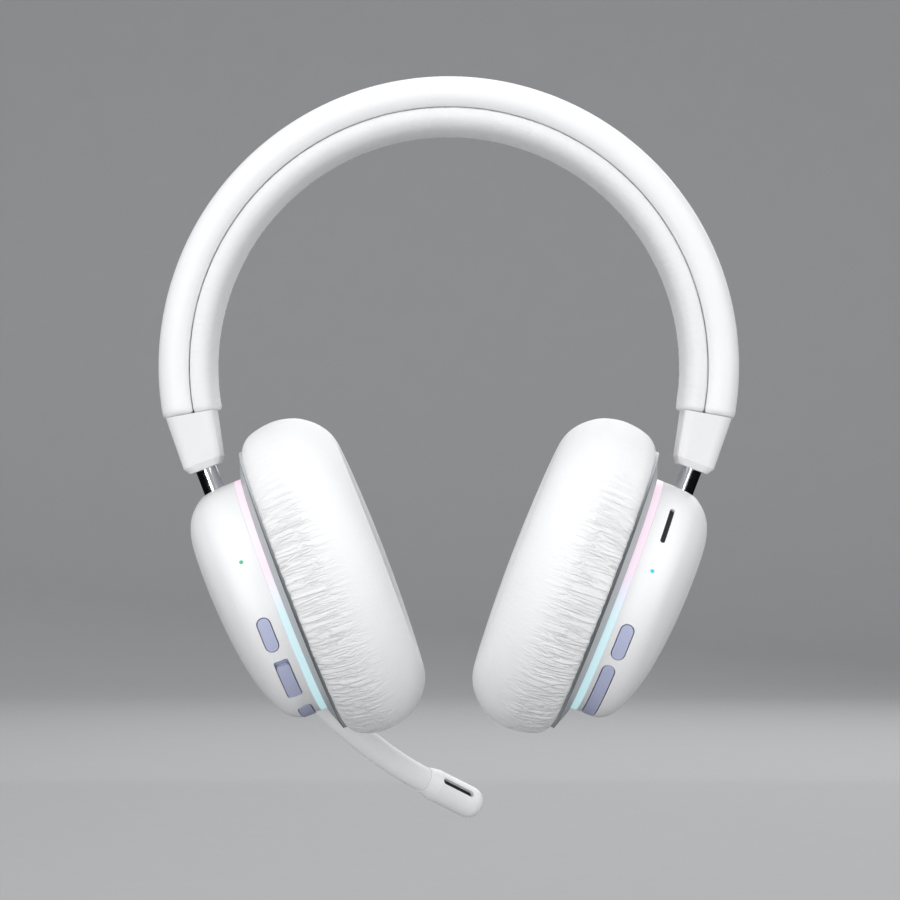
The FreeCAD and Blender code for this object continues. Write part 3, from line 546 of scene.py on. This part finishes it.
def cushion_grid(cup, around, across):
    """Points of a cushion's skin before its creases, with its angles and outline."""
    low, high = cup.span("ear_cushion_" + cup.side)
    middle_up = (low[2] + high[2]) / 2
    half_up = (high[2] - low[2]) / 2
    half_forward = (high[1] - low[1]) / 2
    outline = closed_spline(np.array(CUSHION_OUTLINE) * MM, across)
    angles = even_angles(half_forward, half_up, around)
    inset = outline[None, :, 0]
    outward = outline[None, :, 1] + ROD_OFFSET
    cosine = np.cos(angles)[:, None]
    sine = np.sin(angles)[:, None]
    near_back = smooth_step(*BACK_START, outline[None, :, 1]) * (1 - smooth_step(*BACK_FADE, inset))
    fuller = outward + BACK_FULLER * cosine ** 2 * near_back
    outward = np.maximum(outward, np.minimum(fuller, BACK_LIMIT + ROD_OFFSET))
    bulge = FACE_BULGE * (1 - sine ** 2) * smooth_step(*FACE_START, outline[None, :, 1])
    forward = (half_forward - inset) * cosine
    up = middle_up + (half_up - inset) * sine
    local = np.stack([outward + bulge, forward, up], axis=-1)
    return local, angles, outline


def even_angles(half_forward, half_up, count):
    """Angles at even steps of arc length round an oval."""
    dense = np.linspace(0, 2 * math.pi, 4001)
    ring = np.stack([half_forward * np.cos(dense), half_up * np.sin(dense)], axis=-1)
    length = np.concatenate([[0], np.cumsum(np.linalg.norm(np.diff(ring, axis=0), axis=1))])
    wanted = np.linspace(0, length[-1], count, endpoint=False)
    return np.interp(wanted, length, dense)


def outward_normals(local):
    """Normals of a closed ring-shaped grid, away from the middle of its section."""
    normals = grid_normals(local, True, True)
    centre = local.mean(axis=1, keepdims=True)
    if np.mean(np.sum(normals * (local - centre), axis=-1)) < 0:
        normals = -normals
    return normals


def cloth_swell(local, outline):
    """Height that air pressure gives the sewn skin of a cushion, along its normals."""
    rows, columns = local.shape[:2]
    normals = outward_normals(local)
    start = local - normals * CLOTH_START_SHRINK
    sheet = new_piece("cloth_sheet", start.reshape(-1, 3), grid_faces(rows, columns, True, True),
                      MATERIALS["cushion_leatherette"])
    make_outward(sheet)
    held = sheet.vertex_groups.new(name="held")
    fixed = np.tile(outline[:, 1] > -5.5 * MM, rows)
    held.add([int(k) for k in np.nonzero(fixed)[0]], 1.0, "REPLACE")
    cloth = sheet.modifiers.new("cloth", "CLOTH")
    settings = cloth.settings
    settings.quality = 6
    settings.mass = 0.25
    settings.use_pressure = True
    settings.uniform_pressure_force = 4.0
    settings.vertex_group_mass = "held"
    settings.effector_weights.gravity = 0.0
    settings.tension_stiffness = 12.0
    settings.compression_stiffness = 6.0
    settings.bending_stiffness = 0.6
    cloth.collision_settings.use_self_collision = False
    scene = bpy.context.scene
    for number in range(1, CLOTH_FRAMES + 1):
        scene.frame_set(number)
    graph = bpy.context.evaluated_depsgraph_get()
    swollen = sheet.evaluated_get(graph).to_mesh()
    flat = np.zeros(rows * columns * 3)
    swollen.vertices.foreach_get("co", flat)
    moved = np.sum((flat.reshape(rows, columns, 3) - local) * normals, axis=-1)
    bpy.data.objects.remove(sheet)
    scene.frame_set(1)
    return np.clip(np.nan_to_num(moved), -CLOTH_CAP, CLOTH_CAP)


def wrap_resample(field, rows, columns):
    """Field of a closed grid read at more points, smoothly in both directions."""
    for axis, count in ((0, rows), (1, columns)):
        size = field.shape[axis]
        place = np.arange(count) * size / count
        base = np.floor(place).astype(int)
        t = place - base
        shape = (-1, 1) if axis == 0 else (1, -1)
        t = t.reshape(shape)
        p0, p1, p2, p3 = (np.take(field, (base + k) % size, axis=axis) for k in (-1, 0, 1, 2))
        field = 0.5 * (2 * p1 + (p2 - p0) * t + (2 * p0 - 5 * p1 + 4 * p2 - p3) * t ** 2
                       + (3 * p1 - p0 - 3 * p2 + p3) * t ** 3)
    return field


def skin_map(piece, rows, columns, height):
    """UV map along and across a closed grid's skin, one unit to 100 mm."""
    layer = piece.data.uv_layers.new(name="skin")
    i = np.arange(rows)[:, None]
    j = np.arange(columns)[None, :]
    corners = [(i, j), (i + 1, j), (i + 1, j + 1), (i, j + 1)]
    u = np.stack([np.broadcast_to(a * CUSHION_RUN / rows, (rows, columns)) for a, b in corners], -1)
    v = np.stack([np.broadcast_to(b * height / columns, (rows, columns)) for a, b in corners], -1)
    flat = np.stack([u, v], axis=-1).reshape(-1) / 100
    layer.data.foreach_set("uv", flat)


def build_cushion(side, seed):
    """Crowned ear cushion with gathered creases beside the trim ring."""
    cup = CUPS[side]
    local, angles, outline = cushion_grid(cup, CUSHION_AROUND, CUSHION_ACROSS)
    normals = outward_normals(local)
    coarse, _, coarse_outline = cushion_grid(cup, CLOTH_AROUND, CLOTH_ACROSS)
    swell = wrap_resample(cloth_swell(coarse, coarse_outline), CUSHION_AROUND, CUSHION_ACROSS)
    local = local + normals * (swell * SWELL_SHARE)[..., None]
    along = np.linspace(0, CUSHION_RUN, CUSHION_AROUND, endpoint=False)[:, None]
    depth = (-outline[:, 1] / MM)[None, :]
    inset = outline[:, 0][None, :] / MM
    outer_side = 1 - smooth_step(*CREASE_SIDE, inset)
    near_ring = (1 - smooth_step(*CREASE_REACH, depth)) * outer_side * smooth_step(*CREASE_START, depth)
    top_fade = 1 - smooth_step(*CREASE_TOP, np.sin(angles)[:, None])
    gather = near_ring * (0.12 + 0.88 * top_fade)
    creases = crease_field(along, depth, seed, CUSHION_RUN) * (0.05 + 0.95 * gather)
    local = local + normals * (creases * CREASE_DEPTH)[..., None]
    vertices = cup.world(local).reshape(-1, 3)
    faces = grid_faces(CUSHION_AROUND, CUSHION_ACROSS, True, True)
    piece = new_piece("cushion_skin_" + side, vertices, faces, MATERIALS["cushion_leatherette"])
    skin_map(piece, CUSHION_AROUND, CUSHION_ACROSS, 100.0)
    mask = piece.data.attributes.new("gather", "FLOAT", "POINT")
    mask.data.foreach_set("value", np.broadcast_to(gather, local.shape[:2]).ravel().astype(np.float32))
    make_outward(piece)
    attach(piece, "cup_" + side)
    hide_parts("ear_cushion_" + side)
    return piece


def make_outward(piece):
    """Turn a closed piece's faces outward."""
    mesh = piece.data
    count = len(mesh.vertices)
    flat = np.zeros(count * 3)
    mesh.vertices.foreach_get("co", flat)
    points = flat.reshape(-1, 3)
    mesh.calc_loop_triangles()
    corners = np.zeros(len(mesh.loop_triangles) * 3, int)
    mesh.loop_triangles.foreach_get("vertices", corners)
    a, b, c = (points[corners.reshape(-1, 3)[:, k]] for k in range(3))
    volume = np.sum(a * np.cross(b, c)) / 6
    if volume < 0:
        mesh.flip_normals()


def build_band():
    """Cover and pad of the headband."""
    cover = band_skin("band_cover_skin", mirrored_section(COVER_SECTION, 76.65), BAND_STATIONS, 64,
                      MATERIALS["cover_leatherette"])
    pad = band_skin("band_pad_skin", mirrored_section(PAD_SECTION, 76.4), 900, 90,
                    MATERIALS["pad_leatherette"], 0.05 * MM, 21)
    for piece, node, slot in ((cover, "headband_cover", "cover_leatherette"),
                              (pad, "headband_pad", "pad_leatherette")):
        make_outward(piece)
        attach(piece, "headband")
        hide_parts(node)


# ---- studio --------------------------------------------------------------------
VIEW_WIDTH = 0.2690
CAMERA_DISTANCE = 1.15
SENSOR = 36.0
FRAME_CENTRE = (0.00036, -0.09257)
FLOOR_DROP = 0.06
# name, place, target (none: the middle), width and height, watts
LIGHTS = [
    ("key_light", (-0.5, -0.9, 1.1), None, (1.2, 1.2), 11),
    ("fill_light", (1.2, -0.9, 0.1), None, (1.0, 1.4), 10),
    ("low_light", (-0.7, -1.4, -0.4), (-0.02, 0, -0.16), (1.4, 0.9), 27),
    ("top_light", (0, 0.2, 1.3), None, (1.6, 1.0), 7),
    ("back_light", (0.3, 1.3, 0.6), None, (1.2, 1.0), 8),
]


def build_camera():
    """Level camera straight behind the headset."""
    data = bpy.data.cameras.new("camera")
    data.sensor_width = SENSOR
    data.lens = SENSOR * CAMERA_DISTANCE / VIEW_WIDTH
    data.clip_start = 0.05
    data.clip_end = 20
    camera = bpy.data.objects.new("camera", data)
    camera.location = (FRAME_CENTRE[0], -CAMERA_DISTANCE, FRAME_CENTRE[1])
    camera.rotation_euler = (math.pi / 2, 0, 0)
    bpy.context.scene.collection.objects.link(camera)
    bpy.context.scene.camera = camera


def area_light(name, place, target, size, power):
    """Square soft light aimed at a point."""
    data = bpy.data.lights.new(name, "AREA")
    data.shape = "RECTANGLE"
    data.size, data.size_y = size
    data.energy = power
    light = bpy.data.objects.new(name, data)
    light.location = place
    aim = Vector(target) - Vector(place)
    light.rotation_euler = aim.to_track_quat("-Z", "Y").to_euler()
    bpy.context.scene.collection.objects.link(light)


def build_studio():
    """Pale floor with a swept-up back, and soft lights."""
    low, high = CAD_BOX
    floor_z = low.z - FLOOR_DROP
    profile = [(-3.0, 0.0)]
    sweep = 0.6
    back = 1.6
    for step in range(13):
        angle = math.radians(90 * step / 12)
        profile.append((back + sweep * math.sin(angle), sweep * (1 - math.cos(angle))))
    profile.append((back + sweep, 3.0))
    half = 4.0
    vertices = [(x, y, floor_z + z) for y, z in profile for x in (-half, half)]
    faces = [(2 * k, 2 * k + 1, 2 * k + 3, 2 * k + 2) for k in range(len(profile) - 1)]
    paper = moulded_plastic("studio_paper", (0.42, 0.42, 0.425), 0.9, 400.0, 0.02)
    floor = new_piece("studio_floor", vertices, faces, paper)

    middle = (0, 0, FRAME_CENTRE[1])
    for name, place, target, size, power in LIGHTS:
        area_light(name, place, target or middle, size, power)

    soot = new_material("flag_felt", (0.004, 0.004, 0.004), 1.0, specular=0.0)
    flag_z = floor_z + 0.012
    flag = new_piece("studio_flag", [(-2.5, -3.0, flag_z), (2.5, -3.0, flag_z), (2.5, 0.9, flag_z),
                                     (-2.5, 0.9, flag_z)], [(0, 1, 2, 3)], soot)
    flag.visible_camera = False
    flag.visible_diffuse = False
    flag.visible_shadow = False
    flag.visible_transmission = False

    world = bpy.data.worlds.new("studio_world")
    world.use_nodes = True
    background = world.node_tree.nodes["Background"]
    background.inputs["Color"].default_value = (0.9, 0.92, 0.95, 1.0)
    background.inputs["Strength"].default_value = 0.45
    bpy.context.scene.world = world
    bpy.context.scene.view_settings.view_transform = "Standard"


dress_cad_nodes()
BAND = Band()
build_band()
for number, side in enumerate(SIDES):
    build_cushion(side, 100 + 40 * number)
build_camera()
build_studio()
